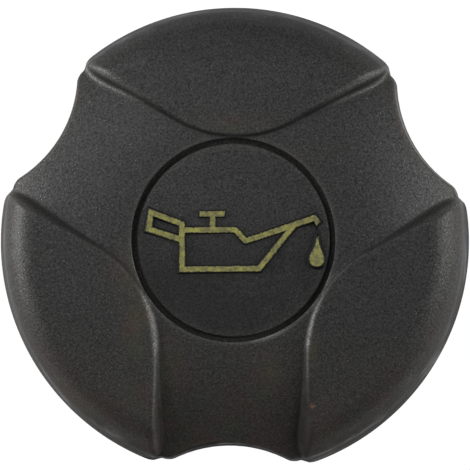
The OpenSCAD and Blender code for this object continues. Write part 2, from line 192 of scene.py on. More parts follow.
def start_material(name):
    """An empty material with its output, its Principled shader and its Object coordinates."""
    made = bpy.data.materials.new(name)
    tree = empty_tree(made)
    shader = node(tree, "ShaderNodeBsdfPrincipled")
    node(tree, "ShaderNodeOutputMaterial", {"Surface": shader.outputs[0]})
    place = node(tree, "ShaderNodeTexCoord").outputs["Object"]
    return made, tree, shader, place


def moulded_nylon(name, base, finish, grain_mm, grain_depth_mm, roughness):
    """Glass filled nylon from a spark eroded mould: a dull black with a fine pebbled grain,
    greyer and glossier where it was rubbed, grey where highlights are painted, dull and dark
    where grime stays and where shade is painted, brown with dust.
    Such a grain is about 0.1 mm wide and its glass fibres are finer still. Both are less than a
    pixel, so they are drawn at grain_mm, which is coarser."""
    made, tree, shader, place = start_material(name)
    grime_size, dust_size = 7 * MM, 4 * MM    # patches of grime and painted shade, and of one dust or the other
    speck_size = 0.6 * grain_mm * MM          # ends of glass fibres, which glint
    fleck_in, fleck_out = 0.2 * MM, 1.1 * MM  # full rust up to here, and none beyond there
    worn, scuff_and_highlight, grime = rgba(finish.nylon_worn), rgba(finish.scuff_and_highlight), rgba(finish.grime)
    dust, dust_brown, rust = rgba(finish.dust), rgba(finish.dust_brown), rgba(finish.rust)
    noises = [node(tree, "ShaderNodeTexNoise",
                   {"Vector": place, "Scale": 1 / size, "Detail": detail, "Roughness": rough})
              for size, detail, rough in ((grime_size, 3.0, 0.6), (grain_mm * MM, 2.0, 0.6),
                                          (speck_size, 1.0, 0.5), (dust_size, 1.0, 0.5))]
    cloud, grain, specks, stains = [noise.outputs[0] for noise in noises]
    marks = [node(tree, "ShaderNodeAttribute", attribute_name=mark) for mark in MARKS]
    crest, grime_and_shade, dusty = [mark.outputs["Fac"] for mark in marks]
    # The grain's peaks are paler, and rubbed places and painted highlights are torn white in specks
    peaks = node(tree, "ShaderNodeMapRange",
                 {"Value": grain, "From Min": 0.35, "From Max": 0.75, "To Max": 0.7})
    tone = node(tree, "ShaderNodeMix", {"Factor": peaks.outputs[0], "A": base, "B": worn},
                data_type="RGBA")
    torn = node(tree, "ShaderNodeMapRange",
                {"Value": specks, "From Min": 0.4, "From Max": 0.65, "To Min": 0.2, "To Max": 1.0})
    hands = node(tree, "ShaderNodeMath", {0: crest, 1: torn.outputs[0]}, operation="MULTIPLY")
    # Grime with painted shade, and dust, lie in clouds, and the dust is olive in some places and brown
    # in others
    patches = node(tree, "ShaderNodeMapRange", {"Value": cloud, "From Min": 0.2, "From Max": 0.5})
    dirt_and_shade = node(tree, "ShaderNodeMath", {0: patches.outputs[0], 1: grime_and_shade}, operation="MULTIPLY")
    veil = node(tree, "ShaderNodeMath",
                {0: cloud, 1: 1.5, 2: -0.25}, operation="MULTIPLY_ADD", use_clamp=True)
    veiled = node(tree, "ShaderNodeMath", {0: veil.outputs[0], 1: dusty}, operation="MULTIPLY")
    kinds = node(tree, "ShaderNodeMapRange", {"Value": stains, "From Min": 0.4, "From Max": 0.6})
    dusts = node(tree, "ShaderNodeMix", {"Factor": kinds.outputs[0], "A": dust, "B": dust_brown},
                 data_type="RGBA")
    away = node(tree, "ShaderNodeVectorMath", {0: place, 1: RUST_PLACE}, operation="DISTANCE")
    near = node(tree, "ShaderNodeMapRange",
                {"Value": away.outputs["Value"], "From Min": fleck_out, "From Max": fleck_in})
    fleck = node(tree, "ShaderNodeMath", {0: near.outputs[0], 1: specks}, operation="MULTIPLY")
    spot = node(tree, "ShaderNodeMapRange",
                {"Value": fleck.outputs[0], "From Min": 0.32, "From Max": 0.7})
    # Dust lies on the nylon, grime and painted shade on the dust, and scuffs with painted highlights and
    # rust on both
    for share, cover in ((veiled, dusts.outputs["Result"]), (dirt_and_shade, grime), (hands, scuff_and_highlight),
                         (spot, rust)):
        tone = node(tree, "ShaderNodeMix",
                    {"Factor": share.outputs[0], "A": tone.outputs["Result"], "B": cover},
                    data_type="RGBA")
    bump = node(tree, "ShaderNodeBump",
                {"Height": grain, "Strength": 1.0, "Distance": grain_depth_mm * MM})
    gloss = node(tree, "ShaderNodeMix", {"Factor": dirt_and_shade.outputs[0], "A": roughness, "B": 0.85})
    # Pebbles shine a little and fibre ends more, but not under grime and painted shade
    glint = node(tree, "ShaderNodeMapRange",
                 {"Value": specks, "From Min": 0.67, "From Max": 0.85, "To Min": 0.0, "To Max": 2.0})
    pebbles = node(tree, "ShaderNodeMath",
                   {0: grain, 1: 0.56, 2: glint.outputs[0]}, operation="MULTIPLY_ADD")
    dull = node(tree, "ShaderNodeMix",
                {"Factor": dirt_and_shade.outputs[0], "A": pebbles.outputs[0], "B": 0.05})
    tree.links.new(dull.outputs["Result"], shader.inputs["Specular IOR Level"])
    tree.links.new(tone.outputs["Result"], shader.inputs["Base Color"])
    tree.links.new(gloss.outputs["Result"], shader.inputs["Roughness"])
    tree.links.new(bump.outputs[0], shader.inputs["Normal"])
    shader.inputs["IOR"].default_value = 1.53
    return made


def stamped_foil(name, foil, thin, under):
    """Yellow hot stamping foil: a thin dull film, rubbed thin in blots, most along the middle of
    the lines, and chipped at their edges and sides, where the black nylon under it shows. The same
    black is painted shade along the lines' edges and down their sides."""
    made, tree, shader, place = start_material(name)
    blot_size, chip_size = 0.8 * MM, 0.25 * MM
    dent_depth = 0.03 * MM
    middle = node(tree, "ShaderNodeAttribute", attribute_name="middle")
    down = node(tree, "ShaderNodeAttribute", attribute_name="down")
    blots = node(tree, "ShaderNodeTexNoise",
                 {"Vector": place, "Scale": 1 / blot_size, "Detail": 3.0, "Roughness": 0.7})
    chips = node(tree, "ShaderNodeTexNoise",
                 {"Vector": place, "Scale": 1 / chip_size, "Detail": 2.0, "Roughness": 0.6})
    rub = node(tree, "ShaderNodeMath",
               {0: middle.outputs["Fac"], 1: 0.2, 2: blots.outputs[0]}, operation="MULTIPLY_ADD")
    rubbed = node(tree, "ShaderNodeMapRange",
                  {"Value": rub.outputs[0], "From Min": 0.48, "From Max": 0.82})
    tone = node(tree, "ShaderNodeMix", {"Factor": rubbed.outputs[0], "A": foil, "B": thin},
                data_type="RGBA")
    # The black shows through chips, and as painted shade along the lines' edges and down their sides
    gone = node(tree, "ShaderNodeMath",
                {0: down.outputs["Fac"], 1: 0.55, 2: chips.outputs[0]}, operation="MULTIPLY_ADD")
    bare_and_shaded = node(tree, "ShaderNodeMapRange",
                {"Value": gone.outputs[0], "From Min": 0.6, "From Max": 0.82})
    shown = node(tree, "ShaderNodeMix",
                 {"Factor": bare_and_shaded.outputs[0], "A": tone.outputs["Result"], "B": under},
                 data_type="RGBA")
    bump = node(tree, "ShaderNodeBump",
                {"Height": chips.outputs[0], "Strength": 1.0, "Distance": dent_depth})
    tree.links.new(shown.outputs["Result"], shader.inputs["Base Color"])
    tree.links.new(bump.outputs[0], shader.inputs["Normal"])
    shader.inputs["Roughness"].default_value = 0.5
    return made


def plain_material(name, tone, roughness, metallic=0.0):
    """A moulded or plated surface of one colour, whose gloss changes softly from place to place."""
    made, tree, shader, place = start_material(name)
    patch_size, spread = 3 * MM, 0.06
    shade = node(tree, "ShaderNodeTexNoise", {"Vector": place, "Scale": 1 / patch_size})
    gloss = node(tree, "ShaderNodeMapRange",
                 {"Value": shade.outputs[0], "To Min": roughness - spread, "To Max": roughness + spread})
    shader.inputs["Base Color"].default_value = tone
    shader.inputs["Metallic"].default_value = metallic
    tree.links.new(gloss.outputs[0], shader.inputs["Roughness"])
    return made


def rgba(value):
    """A property's colour with full cover."""
    return [*value, 1.0]


def polar(r, a, *z):
    """A point at a radius and in a direction, at a level if one is given."""
    return Vector((r * math.cos(a), r * math.sin(a), *z))


def smooth_min(a, b, k):
    """The smaller of two heights, rounded where they lie within k of each other."""
    h = max(k - abs(a - b), 0) / k
    return min(a, b) - h * h * k / 4


def smooth_max(a, b, k):
    """The larger of two heights, rounded where they lie within k of each other."""
    return -smooth_min(-a, -b, k)


def ramp(value, none, full):
    """A soft step, from 0 where the value is none to 1 where it is full."""
    t = max(0, min(1, (value - none) / (full - none)))
    return t * t * (3 - 2 * t)


def bell(away, width):
    """1 at a place, falling to 0 round it."""
    return math.exp(-(away / width) ** 2)


def quarter_drop(gap, radius):
    """How far a rounded edge has dropped at a distance from the wall below it."""
    if gap >= radius:
        return 0.0
    return radius - math.sqrt(max(radius * radius - (radius - max(gap, 0)) ** 2, 0))


LAND_WALL = 0.75         # height of a pad's wall at the lands, as a share of the channel's fall
GROOVE_PAST = 0.3 * MM   # how far past the crest the groove in a land ends
WALL_REACH = 6 * MM      # no pad's wall and no rounding of it reaches further from the crest


class GripSurface:
    """The grip's outer faces as heights and radii, in a finger channel's own directions:
    x along the channel, y across it."""

    def __init__(self, form):
        self.f = form
        # the channels' dome, the arc of a pad's tip, and the crown with its round rim
        run = form.land_x - form.dome_start
        self.dome_r = (run * run + form.fall * form.fall) / (2 * form.fall)
        self.tip_c = (form.tip_r + form.half_w) / math.cos(HALF_SECTOR / 2)
        self.tip_x = self.tip_c - form.tip_r
        self.tip_mid = polar(self.tip_c, HALF_SECTOR)
        self.arc_len = form.tip_r * HALF_SECTOR / 2
        self.rim_c = form.grip_r - form.draft - form.rim_r
        self.lean = math.asin(self.rim_c / (form.crown_r - form.rim_r))
        self.crown_c = form.plateau_z + form.pad_rise - math.sqrt(form.crown_r ** 2 - self.tip_x ** 2)
        self.rim_cz = self.crown_c + math.sqrt((form.crown_r - form.rim_r) ** 2 - self.rim_c ** 2)
        self.rim_start = self.rim_c + form.rim_r * math.sin(self.lean)
        self.rim_end = self.rim_c + form.rim_r * math.cos(SKIRT_LEAN)
        self.skirt_top = self.rim_cz + form.rim_r * math.sin(SKIRT_LEAN)

    def dome(self, r):
        """Height of the channels' floors at a distance from the axis."""
        f = self.f
        if r <= f.dome_start:
            return f.plateau_z
        return f.plateau_z - self.dome_r + math.sqrt(self.dome_r ** 2 - (r - f.dome_start) ** 2)

    def pad(self, r):
        """Height of the pads at a distance from the axis."""
        if r <= self.rim_start:
            return self.crown_c + math.sqrt(self.f.crown_r ** 2 - r * r)
        out = min(r, self.rim_end) - self.rim_c
        return self.rim_cz + math.sqrt(self.f.rim_r ** 2 - out * out)

    def crest(self, s):
        """A point of the crest at a way from the pad's tip, and the direction into the channel."""
        if s < self.arc_len:
            away = polar(1, math.pi + HALF_SECTOR + s / self.f.tip_r)
            return self.tip_mid + away * self.f.tip_r, away
        return Vector((self.tip_mid.x + s - self.arc_len, self.f.half_w)), Vector((0, -1))

    def off_crest(self, p):
        """How far a point lies outside the crest, and the crest's point beside it."""
        if p.x >= self.tip_mid.x:
            return self.f.half_w - p.y, Vector((p.x, self.f.half_w))
        away = p - self.tip_mid
        near = self.tip_mid + away * (self.f.tip_r / away.length)
        return away.length - self.f.tip_r, near

    def wall_w(self, s):
        """Width of the pad's wall in plan, beside a point of the crest."""
        p = self.crest(s)[0]
        return self.f.wall_run * max(self.pad(p.length) - self.dome(p.length), 0.1 * MM)

    def land(self, y):
        """Distance along the channel to the land or its groove."""
        f = self.f
        foot = f.half_w - f.wall_run * f.fall * LAND_WALL
        crest = f.half_w + GROOVE_PAST
        groove = (foot + crest) / 2
        if y <= foot:
            return f.land_x
        if y <= groove:
            return f.land_x - f.land_groove * (y - foot) / (groove - foot)
        if y <= crest:
            rise = (y - groove) / (crest - groove)
            return f.land_x - f.land_groove + (f.land_groove + f.land_step) * rise
        return f.land_x + f.land_step

    def cut(self, angle):
        """Distance from the axis to the scallop or the land in a direction."""
        f = self.f
        c, s = math.cos(angle), math.sin(angle)
        found = self.land(f.land_x * s / c) / c
        middle = f.waist_r + f.scallop_r
        if middle * s < f.scallop_r:
            scallop = middle * c - math.sqrt(f.scallop_r ** 2 - (middle * s) ** 2)
            found = smooth_min(found, scallop, f.corner_soft)
        return found

    def brim(self, angle):
        """Distance from the axis to the upper end of the scallop's leaning wall."""
        return self.cut(angle) - self.f.scallop_draft

    def edge(self, angle):
        """Distance from the axis to the end of the top in a direction."""
        return smooth_min(self.brim(angle), self.rim_end, self.f.corner_soft)

    def top(self, p):
        """Height of the top over a point in plan."""
        f = self.f
        r = p.length
        off, near = self.off_crest(p)
        z = self.dome(r)
        if off < WALL_REACH:
            # a low wall has a smaller rounding on its crest than a high one
            tall = self.pad(near.length) - self.dome(near.length)
            soft = min(f.crest_soft, 0.75 * max(tall, 0) + 0.25 * MM)
            wall = self.pad(near.length) - off / f.wall_run
            z = smooth_max(z, smooth_min(self.pad(r), wall, soft), f.foot_soft)
        z -= quarter_drop(self.brim(math.atan2(p.y, p.x)) - r, f.edge_round)
        return z - quarter_drop(r - f.recess_r, f.recess_round)

    def side(self, angle, z):
        """Distance from the axis to the skirt in a direction and at a level."""
        f = self.f
        low = f.skirt_z + f.chamfer
        up = (z - low) / (self.skirt_top - low)
        skirt = f.grip_r + (self.rim_end - f.grip_r) * up
        lean = f.scallop_draft * min(1, (z - low) / (self.dome(f.waist_r) - low))
        return smooth_min(self.cut(angle) - lean, skirt, f.corner_soft)


def folded(p):
    """A point in the directions of the channel nearest to it, on its left side."""
    a = (math.atan2(p.y, p.x) - FIRST_CHANNEL) % SECTOR
    a = min(a, SECTOR - a)
    return polar(math.hypot(p.x, p.y), a)


class Spot:
    """Where a point of the skin lies, in the terms that its wear, its painted highlights and its painted
    shade follow.
    """

    def __init__(self, surface, co):
        beside = folded(co)
        self.co = co
        self.r = math.hypot(co.x, co.y)
        self.down = -co.y / self.r    # 1 straight below the badge, -1 straight above it
        self.left = ramp(-co.x, 0, 10 * MM)
        self.right = ramp(co.x, 0, 6 * MM)
        self.off, near = surface.off_crest(beside)    # how far it lies outside a crest
        tall = max(surface.pad(near.length) - surface.dome(near.length), 0)
        self.wall = surface.f.wall_run * tall         # width of the pad's wall beside it
        self.inside = surface.brim(math.atan2(beside.y, beside.x)) - self.r
        # 1 on what lies round the pads' tips, and at the outer ends of the upper channels
        self.near_tips = ramp(self.r, (28 - 3 * self.right) * MM, (22 - 3 * self.right) * MM)
        self.upper_end = ramp(self.r, 21 * MM, 30 * MM) * ramp(-self.down, 0, 0.5)


def rub_and_highlight_at(f, s):
    """How much hands have rubbed a spot and how much highlight is painted on it, up to 1: most on the
    crests beside the lowest channel, less at the outer ends of the upper channels' walls and on the
    recess's edge. The pale lines on the crests and walls are painted highlights."""
    # A crest's painted highlight line, narrower on the right, ends about 21 mm from the axis. A fainter
    # one goes on, and both are nearly gone on crests that aren't beside the lowest channel
    crest = bell(s.off + 0.1 * MM, (0.33 - 0.06 * s.right) * MM)
    bright = ramp(s.r, (21 - 0.8 * s.right) * MM, (18 - 0.8 * s.right) * MM)
    crest *= bright + (0.28 - 0.18 * s.right) * s.near_tips
    crest *= 0.06 + 1.2 * ramp(s.down, 0.4, 0.75)
    # A painted reflection along the foot of the upper channels' walls, and a painted highlight along
    # their crests
    upper_foot = (0.55 + 0.35 * s.left) * bell(s.off - s.wall, 0.3 * MM) * s.upper_end
    upper_crest = 0.5 * bell(s.off + 0.25 * MM, 0.4 * MM) * s.upper_end
    recess = bell(s.r - f.recess_r - 0.2 * MM, 0.3 * MM)
    recess *= 0.15 + 0.6 * bell(math.atan2(s.co.y, s.co.x) - SCUFF_ANGLE, 0.17)
    return min(1, max(crest, upper_foot, upper_crest, recess))


def grime_and_shade_at(f, s):
    """How much grime and painted shade a spot gets, up to 1: painted shade in the groove round the
    badge, on the pads' walls and on the lower scallops' edges, a darkening on the lowest channel's right
    wall, and grime with painted shade along the outline and on the skirt."""
    # the groove round the badge is painted in shade
    groove = 1.0 if s.r < f.recess_r + 0.05 * MM and s.co.z < f.plateau_z - 0.25 * MM else 0.0
    # Painted shade lies near a wall's foot, and higher up at the ends of the upper channels
    wall = bell(s.off - (0.8 - 0.3 * s.upper_end) * s.wall, 0.2 * MM + 0.2 * s.wall)
    wall *= 1 - 0.6 * max(0, s.down) * s.near_tips
    if abs(s.co.y) < abs(s.co.x) * math.tan(HALF_SECTOR / 2):
        # the walls to the left and right of the badge are painted in shade over their whole width
        soft = 0.35 * MM
        wall = (0.62 - 0.2 * s.right) * ramp(abs(s.off - s.wall / 2), s.wall / 2 + soft, s.wall / 2)
        wall *= 1 - 0.4 * s.right * ramp(s.r, 24 * MM, 18 * MM)
    wall *= 1 - 0.4 * ramp(s.r, 25 * MM, 31 * MM)
    # The lowest channel's right wall is darkened and dulled beside its crest
    right_wall_dark = 0.9 * s.right * ramp(s.co.y, -17 * MM, -23 * MM)
    right_wall_dark *= bell(s.off - s.wall / 2, 0.8 * MM + s.wall / 2)
    # The pads' rims get grime and painted shade in a band that is widest at the top and bottom, and
    # weaker on the left
    band = 1.5 * MM + 2.1 * MM * abs(s.down)
    rim = (0.7 + 0.3 * max(0, s.down)) * ramp(s.r, f.grip_r - band, f.grip_r)
    rim *= 1 - 0.5 * ramp(s.co.x, 0, -25 * MM) * (1 - abs(s.down))
    rim = max(rim, 0.25 * ramp(s.co.y, 24 * MM, 28 * MM))
    skirt = SKIRT_GRIME_AND_SHADE * ramp(s.co.z, f.plateau_z - 6 * MM, f.plateau_z - 9 * MM)
    outline = max(rim, skirt) * (1 - 0.15 * max(0, s.down) * ramp(s.co.z, 2 * MM, -2 * MM))
    # the edges of the lower scallops are painted in shade
    low_scallop = ramp(s.down, 0.4, 0.7) * ramp(s.inside, 0.5 * MM, 0)
    return max(groove, wall, right_wall_dark, outline, low_scallop)


def dust_at(s):
    """How much dust lies at a spot, up to 1: in patches, more towards the low side, and along
    the outline and the edges of the scallops."""
    much = 0.0
    for x, y, wide, tall, share in DUST_PATCHES:
        much += share * bell(s.co.x - x * MM, wide * MM) * bell(s.co.y - y * MM, tall * MM)
    much += 0.42 * ramp(s.co.y, -10 * MM, -30 * MM)
    much += 0.45 * bell(s.r - 31.5 * MM, 1.6 * MM) * (1 - abs(s.down))
    much += 0.8 * ramp(s.r, 30.5 * MM, 33.5 * MM) * max(0, s.down)
    much += 0.5 * bell(s.inside - 0.4 * MM, 0.4 * MM)
    return min(1, much)


CHANNEL_COLS = 30    # columns from a channel's middle to the band along a crest
PAD_COLS = 26        # columns from that band to a pad's middle
PAD_SIDE = (1.6, 1.0, 0.65, 0.42, 0.28, 0.16, 0.07)    # band on the pad, mm from the crest
WALL_TOP = (0.07, 0.16, 0.32)                          # band on the wall, mm from the crest
FOOT = (-0.32, -0.16, 0.0, 0.16, 0.35, 0.8)            # band on the floor, mm from the wall's foot
FOOT_SPREAD = 50         # how fast crest and recess part, in metres for a square metre of way
BEND_START = 24 * MM     # from here outwards the band bends until it ends on the outline
STRAIGHT_ROWS = 46       # rows from a pad's tip to where its rim turns down
RIM_ROWS = 17            # rows round the rim
# Rows down the skirt, as shares of its height
SIDE_STEPS = (0.015, 0.05, 0.12, 0.22, 0.34, 0.46, 0.58, 0.7, 0.8, 0.88, 0.94, 0.975, 1.0)


def row_places(surface):
    """Ways along the crest, from the tip to the outline, closer where the rim turns down."""
    f = surface.f
    half_w = f.half_w
    rim = surface.arc_len + math.sqrt(surface.rim_start ** 2 - half_w ** 2) - surface.tip_mid.x
    ways = [rim * (i / STRAIGHT_ROWS) for i in range(STRAIGHT_ROWS)]
    for i in range(RIM_ROWS + 1):
        a = surface.lean + (math.pi / 2 - SKIRT_LEAN - surface.lean) * i / RIM_ROWS
        r = surface.rim_c + f.rim_r * math.sin(a)
        ways.append(surface.arc_len + math.sqrt(r * r - half_w ** 2) - surface.tip_mid.x)
    return ways


def band_offsets(surface, s):
    """Offsets of the band's columns from the crest, from the channel to the pad, in metres. The
    columns lie closer together where the wall is low or the recess is near."""
    wall = surface.wall_w(s)
    widest = FOOT[-1] * MM
    tight = min(1, wall / widest)
    room = surface.tip_x - surface.f.recess_r + FOOT_SPREAD * s * s
    reach = min(widest, room - wall) / widest
    foot = [wall + x * MM * (reach if x > 0 else tight) for x in reversed(FOOT)]
    crest = [x * MM * tight for x in reversed(WALL_TOP)]
    return foot + [wall / 2] + crest + [0.0] + [-x * MM for x in reversed(PAD_SIDE)]


def row_points(surface, s, last):
    """One row of the top in half a sector, from the channel's middle to the pad's."""
    f = surface.f
    base, away = surface.crest(s)
    band = []
    for off, end_off in zip(band_offsets(surface, s), band_offsets(surface, last)):
        p = base + away * off
        end = surface.crest(last)[0] + Vector((0, -1)) * end_off
        fit = surface.edge(math.atan2(end.y, end.x)) / end.length
        late = max(0, min(1, (p.x - BEND_START) / (end.x - BEND_START)))
        band.append(p * (1 + late * late * (fit - 1)))
    out, inner = band[0], band[-1]
    out_a = math.atan2(out.y, out.x)
    share = (out.length - f.recess_r) / (surface.edge(out_a) - f.recess_r)
    row = []
    for i in range(CHANNEL_COLS):
        a = out_a * i / CHANNEL_COLS
        r = f.recess_r + share * (surface.edge(a) - f.recess_r)
        row.append(polar(r, a))
    row += band
    start = surface.tip_x + PAD_SIDE[0] * MM
    in_a = math.atan2(inner.y, inner.x)
    share = (inner.length - start) / (surface.edge(in_a) - start)
    for i in range(1, PAD_COLS + 1):
        a = in_a + (HALF_SECTOR - in_a) * i / PAD_COLS
        r = start + share * (surface.edge(a) - start)
        row.append(polar(r, a))
    return row


def half_sector_rows(surface):
    """All rows of half a sector as points in space: recess wall, top and skirt."""
    f = surface.f
    ways = row_places(surface)
    flat = [row_points(surface, s, ways[-1]) for s in ways]
    rows = [[Vector((p.x, p.y, surface.top(p))) for p in row] for row in flat]
    # Only columns that start on the recess's edge have a wall below them. In the others these
    # points fall together and are merged later
    above = []
    for share in (0.0, 0.5):
        wall = []
        for p in rows[0]:
            r = math.hypot(p.x, p.y)
            on_edge = r < f.recess_r * 1.0001
            z = f.recess_z + (p.z - f.recess_z) * share
            wall.append(Vector((p.x, p.y, z if on_edge else p.z)))
        above.append(wall)
    below = []
    for step in SIDE_STEPS:
        skirt = []
        for p in rows[-1]:
            a = math.atan2(p.y, p.x)
            z = p.z + (f.skirt_z + f.chamfer - p.z) * step
            skirt.append(polar(surface.side(a, z), a, z))
        below.append(skirt)
    # The chamfer runs out where the outline turns into a scallop
    run_out = 0.5 * MM
    foot = []
    for p in below[-1]:
        a = math.atan2(p.y, p.x)
        r = math.hypot(p.x, p.y)
        r -= f.chamfer * max(0, min(1, (surface.cut(a) - f.grip_r) / run_out))
        foot.append(polar(r, a, f.skirt_z))
    return above + rows + below + [foot]


def verts_of(geom):
    """The vertices among what an operator made."""
    return [g for g in geom if isinstance(g, bmesh.types.BMVert)]


def grip_skin(bm, surface):
    """The grip's outer skin: a grid moved onto one half sector, mirrored and turned."""
    f = surface.f
    rows = half_sector_rows(surface)
    tall, wide = len(rows), len(rows[0])
    layers = [bm.verts.layers.float.new(mark) for mark in MARKS]
    made = bmesh.ops.create_grid(bm, x_segments=wide - 1, y_segments=tall - 1, size=1.0)
    for v in made["verts"]:
        i = round((v.co.x + 1) / 2 * (wide - 1))
        j = round((v.co.y + 1) / 2 * (tall - 1))
        v.co = rows[j][i]
    bmesh.ops.remove_doubles(bm, verts=bm.verts[:], dist=1e-7)
    # Faces that lie in the mirror plane would stay as fins on the recess's wall
    across = Vector((-math.sin(HALF_SECTOR), math.cos(HALF_SECTOR), 0))
    folds = [face for face in bm.faces if all(abs(v.co.dot(across)) < 1e-7 for v in face.verts)]
    bmesh.ops.delete(bm, geom=folds, context="FACES")
    half = bm.verts[:] + bm.edges[:] + bm.faces[:]
    twin = bmesh.ops.duplicate(bm, geom=half)["geom"]
    bmesh.ops.scale(bm, vec=(1, -1, 1), verts=verts_of(twin))
    sector = bm.verts[:] + bm.edges[:] + bm.faces[:]
    for i in range(LOBES):
        # the last lobe is the sector itself
        lobe = bmesh.ops.duplicate(bm, geom=sector)["geom"] if i < LOBES - 1 else sector
        turn = Matrix.Rotation(FIRST_CHANNEL + i * SECTOR, 3, "Z")
        bmesh.ops.rotate(bm, cent=(0, 0, 0), matrix=turn, verts=verts_of(lobe))
    bmesh.ops.remove_doubles(bm, verts=bm.verts[:], dist=2e-7)
    bmesh.ops.dissolve_degenerate(bm, dist=1e-8, edges=bm.edges[:])
    # The solid's round faces are facets, so its box is a few thousandths of a millimetre
    # smaller than the true form, and the skin is held to that box
    for v in bm.verts:
        spot = Spot(surface, v.co)
        for layer, much in zip(layers, (rub_and_highlight_at(f, spot), grime_and_shade_at(f, spot), dust_at(spot))):
            v[layer] = much
        v.co = [max(low, min(high, c)) for low, c, high in zip(LOW, v.co, HIGH)]


def is_outer(surface, face):
    """True for a face of the solid's outer skin or of its recess's wall."""
    f = surface.f
    near, deep, thin = 0.05 * MM, 0.9 * MM, 0.5 * MM    # of the recess's wall, the top, the skirt
    c, n = face.calc_center_median(), face.normal
    p = folded(c)
    if p.length < f.recess_r - near:
        return False
    if p.length < f.recess_r + near and f.recess_z < c.z:
        return True
    if n.z > 0.01 and c.z > surface.top(p) - deep:
        return True
    outward = n.x * c.x + n.y * c.y > 0
    beside = p.length > surface.side(math.atan2(p.y, p.x), c.z) - thin
    return outward and beside and c.z > f.skirt_z + 0.001 * MM


def merged_copy(name):
    """A bmesh of a solid's faces with their doubles merged."""
    bm = bmesh.new()
    bm.from_mesh(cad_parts[name].data)
    bmesh.ops.remove_doubles(bm, verts=bm.verts[:], dist=1e-6)
    return bm


def take_in(bm, other):
    """Adds another bmesh with its layers to a bmesh, and frees it."""
    mesh = bpy.data.meshes.new("joined")
    other.to_mesh(mesh)
    other.free()
    bm.from_mesh(mesh)
    bpy.data.meshes.remove(mesh)


def stitch(bm, loose, dense):
    """Closes the seam between two borders that lie on each other."""
    tree = kdtree.KDTree(len(dense))
    for i, v in enumerate(dense):
        tree.insert(v.co, i)
    tree.balance()
    for v in loose:
        v.co = tree.find(v.co)[0]
    bmesh.ops.remove_doubles(bm, verts=loose + dense, dist=1e-8)
    open_edges = [e for e in bm.edges if e.is_boundary]
    bmesh.ops.holes_fill(bm, edges=open_edges, sides=0)


def finish_mesh(bm, name, material, node_name, angle=35):
    """Makes the bmesh an object that stands for a node, with smooth faces and sharp edges."""
    mesh = bpy.data.meshes.new(name)
    bm.to_mesh(mesh)
    bm.free()
    mesh.materials.append(material)
    mesh.shade_smooth()
    mesh.set_sharp_from_angle(angle=math.radians(angle))
    obj = bpy.data.objects.new(name, mesh)
    bpy.context.scene.collection.objects.link(obj)
    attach(obj, "root")
    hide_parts(node_name)


class CAP_OT_grip(bpy.types.Operator):
    """Makes the grip: a fine outer skin with rounded crests on the solid's own underside"""
    bl_idname = "cap.grip"
    bl_label = "Grip"

    def execute(self, context):
        form, finish = context.scene.cap_form, context.scene.cap_finish
        surface = GripSurface(form)
        bm = merged_copy("grip_shell")
        bm.normal_update()
        outer = [face for face in bm.faces if is_outer(surface, face)]
        bmesh.ops.delete(bm, geom=outer, context="FACES")
        # The layer seam is 2 on the old border, 1 elsewhere on the underside and 0 on new skin
        seam = bm.verts.layers.int.new("seam")
        for v in bm.verts:
            v[seam] = 2 if v.is_boundary else 1
        skin = bmesh.new()
        grip_skin(skin, surface)
        take_in(bm, skin)
        seam = bm.verts.layers.int["seam"]
        # The underside gets the skirt's grime and painted shade
        grime_and_shade = bm.verts.layers.float["grime_and_shade"]
        for v in bm.verts:
            if v[seam] > 0:
                v[grime_and_shade] = SKIRT_GRIME_AND_SHADE
        loose = [v for v in bm.verts if v[seam] == 2]
        dense = [v for v in bm.verts if v[seam] == 0 and v.is_boundary]
        stitch(bm, loose, dense)
        bmesh.ops.recalc_face_normals(bm, faces=bm.faces[:])
        if any(not e.is_manifold for e in bm.edges):
            raise RuntimeError("the grip's skin isn't closed")
        nylon = moulded_nylon("Glass filled nylon, spark eroded grain", rgba(finish.nylon), finish,
                              grain_mm=0.3, grain_depth_mm=0.05, roughness=0.44)
        finish_mesh(bm, "grip", nylon, "grip_shell")
        return {"FINISHED"}


def spin_profile(bm, points, steps):
    """A closed body of revolution from a half section that starts and ends on the axis."""
    verts = [bm.verts.new((r, 0, z)) for r, z in points]
    edges = [bm.edges.new((verts[i], verts[i + 1])) for i in range(len(verts) - 1)]
    bmesh.ops.spin(bm, geom=verts + edges, cent=(0, 0, 0), axis=(0, 0, 1), angle=math.tau,
                   steps=steps, use_merge=True)
    bmesh.ops.remove_doubles(bm, verts=bm.verts[:], dist=1e-7)


